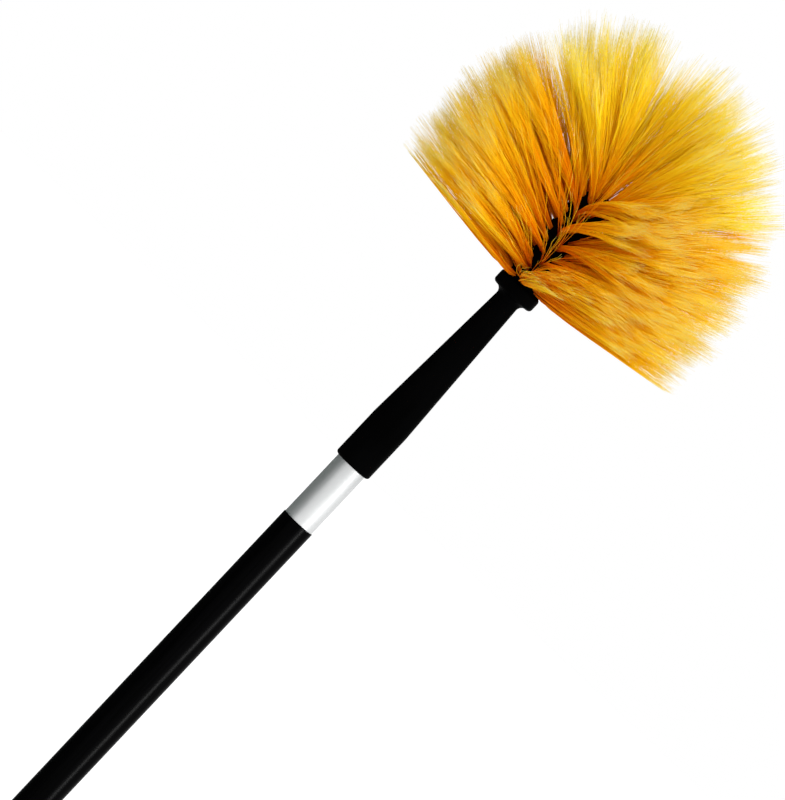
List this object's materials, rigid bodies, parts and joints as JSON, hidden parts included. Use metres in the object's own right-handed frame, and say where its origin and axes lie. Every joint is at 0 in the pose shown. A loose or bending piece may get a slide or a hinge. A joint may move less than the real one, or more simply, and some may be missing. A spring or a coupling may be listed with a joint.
{
  "type": "cobweb brush",
  "caption": "Domed head of radiating yellow bristle tufts on a tapered push-on socket, carried by a twist-lock telescopic pole with a hanging eye, for dusting ceilings and corners.",
  "frame": {"origin": "centre of the hanging hole in the cap at the pole's lower end, on the pole's axis", "axes": "+Z along the pole towards the brush head, +Y along the hanging hole"},
  "size_m": [0.2152, 0.2156, 1.044],
  "materials": {
    "black_coat": "gloss",
    "bright_tube": "satin",
    "black_plastic": "satin",
    "white_plastic": "satin",
    "bristle": "satin",
    "anchor_wire": "satin"
  },
  "bodies": {
    "outer_pole": {"outer_tube": "black_coat", "end_cap": "black_plastic"},
    "lock": {"lock_ring": "white_plastic"},
    "inner_pole": {"inner_tube": "bright_tube", "lock_spindle": "white_plastic", "tip_cone": "black_plastic"},
    "head": {"handle_socket": "black_plastic", "brush_core": "black_plastic", "tuft_anchors": "anchor_wire", "tuft_ring_1": "bristle", "tuft_ring_2": "bristle", "tuft_ring_3": "bristle", "tuft_ring_4": "bristle", "tuft_ring_5": "bristle", "tuft_ring_6": "bristle", "tuft_ring_7": "bristle", "tuft_ring_8": "bristle", "tuft_ring_9": "bristle", "tuft_ring_10": "bristle", "tuft_ring_11": "bristle", "tuft_ring_12": "bristle", "crown_tuft": "bristle"}
  },
  "joints": [
    {"name": "pole_extend", "type": "slide", "parent": "outer_pole", "child": "lock", "axis": [0, 0, 1], "range_m": [-0.045, 0.45]},
    {"name": "pole_twist", "type": "hinge", "parent": "lock", "child": "inner_pole", "pos_m": [0, 0, 0.1], "axis": [0, 0, 1], "range_deg": [-30, 30]},
    {"name": "head_pull_off", "type": "slide", "parent": "inner_pole", "child": "head", "axis": [0, 0, 1], "range_m": [0, 0.09]}
  ]
}
